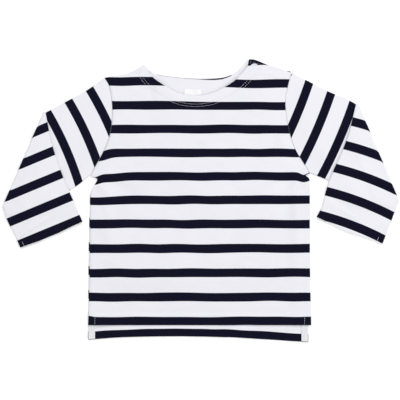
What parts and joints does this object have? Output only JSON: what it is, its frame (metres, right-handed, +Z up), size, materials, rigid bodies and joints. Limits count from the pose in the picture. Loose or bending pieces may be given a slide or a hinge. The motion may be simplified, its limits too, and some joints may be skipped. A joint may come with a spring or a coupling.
{
  "type": "striped long-sleeved knit top",
  "caption": "Small child's striped long-sleeved knit top, laid flat with its sleeves folded at the elbow, with a boat neck, a shoulder popper and side vents.",
  "frame": {"origin": "on the surface the top lies on, under the middle of its bounding box", "axes": "+X towards the viewer's right across both sleeves, +Y towards the neck, +Z up out of the front of the garment"},
  "size_m": [0.4956, 0.3532, 0.0077],
  "materials": {
    "body_knit": "white cotton jersey with woven-in navy stripes 10 mm wide, 30 mm apart",
    "sleeve_knit": "white cotton jersey with navy stripes across the sleeve",
    "facing_jersey": "plain white cotton jersey",
    "label_satin": "bare white satin label",
    "placket_knit": "navy cotton jersey",
    "popper_plastic": "white moulded press stud half",
    "vent_tape": "white twill tape"
  },
  "bodies": {
    "root": {"back_panel": "body_knit", "front_panel": "body_knit", "sleeve_left": "sleeve_knit", "sleeve_right": "sleeve_knit", "neck_facing": "facing_jersey", "neck_label": "label_satin", "shoulder_placket": "placket_knit", "popper": "popper_plastic", "vent_tape_left": "vent_tape", "vent_tape_right": "vent_tape"}
  },
  "joints": []
}
